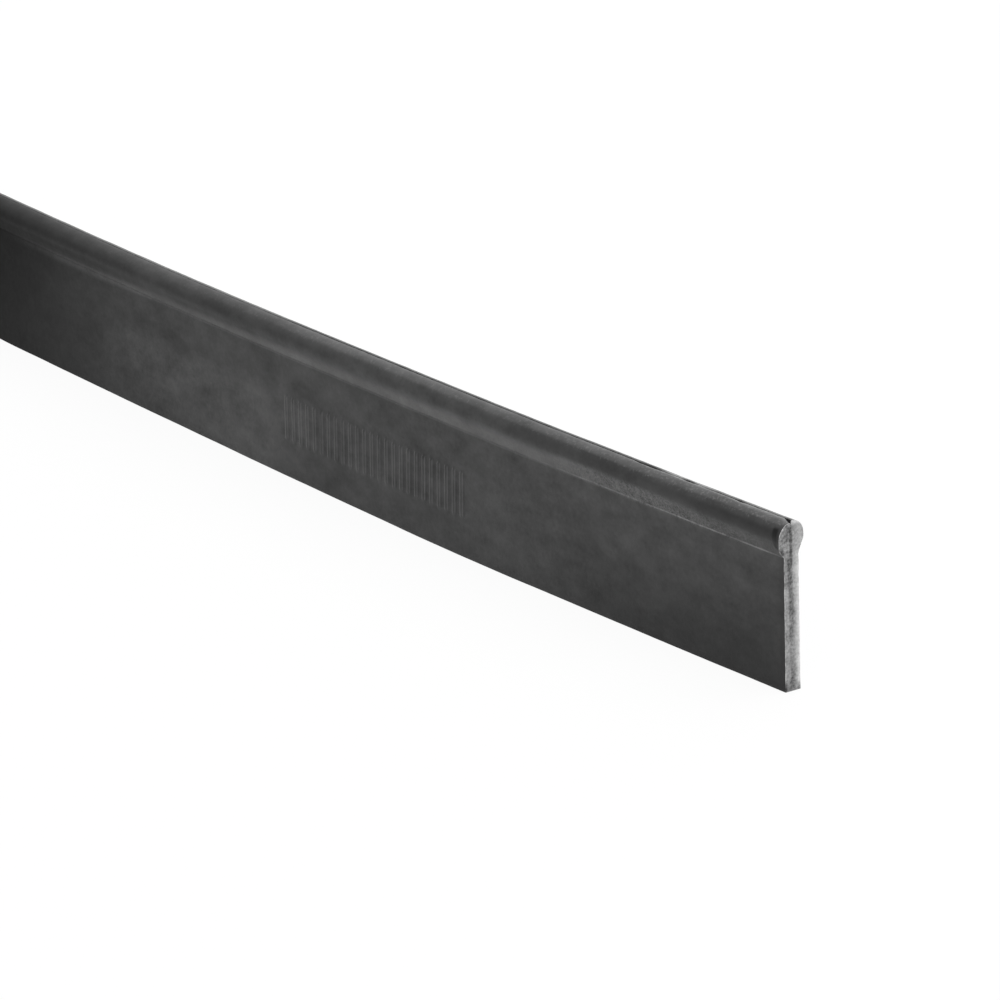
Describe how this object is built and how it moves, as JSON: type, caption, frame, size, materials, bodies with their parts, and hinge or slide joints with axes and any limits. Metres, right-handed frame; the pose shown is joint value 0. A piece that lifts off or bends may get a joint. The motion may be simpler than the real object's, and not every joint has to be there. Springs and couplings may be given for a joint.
{
  "type": "squeegee blade rubber",
  "caption": "Long flexible black rubber blade strip with a round bead along its top edge for a channel and a flat wiping lip below, in two bonded plies.",
  "frame": {"origin": "on the axis of the round bead, at the middle of the strip's length", "axes": "+X along the strip, +Y from the front ply to the rear ply, towards the inside of the bow, +Z from the wiping lip up to the bead"},
  "size_m": [0.3556, 0.0104, 0.027],
  "materials": {
    "front_rubber": "matte moulded black rubber with a light bloom",
    "rear_rubber": "matte moulded black rubber with a light bloom"
  },
  "bodies": {
    "root": {"front_ply": "front_rubber", "rear_ply": "rear_rubber"}
  },
  "joints": []
}
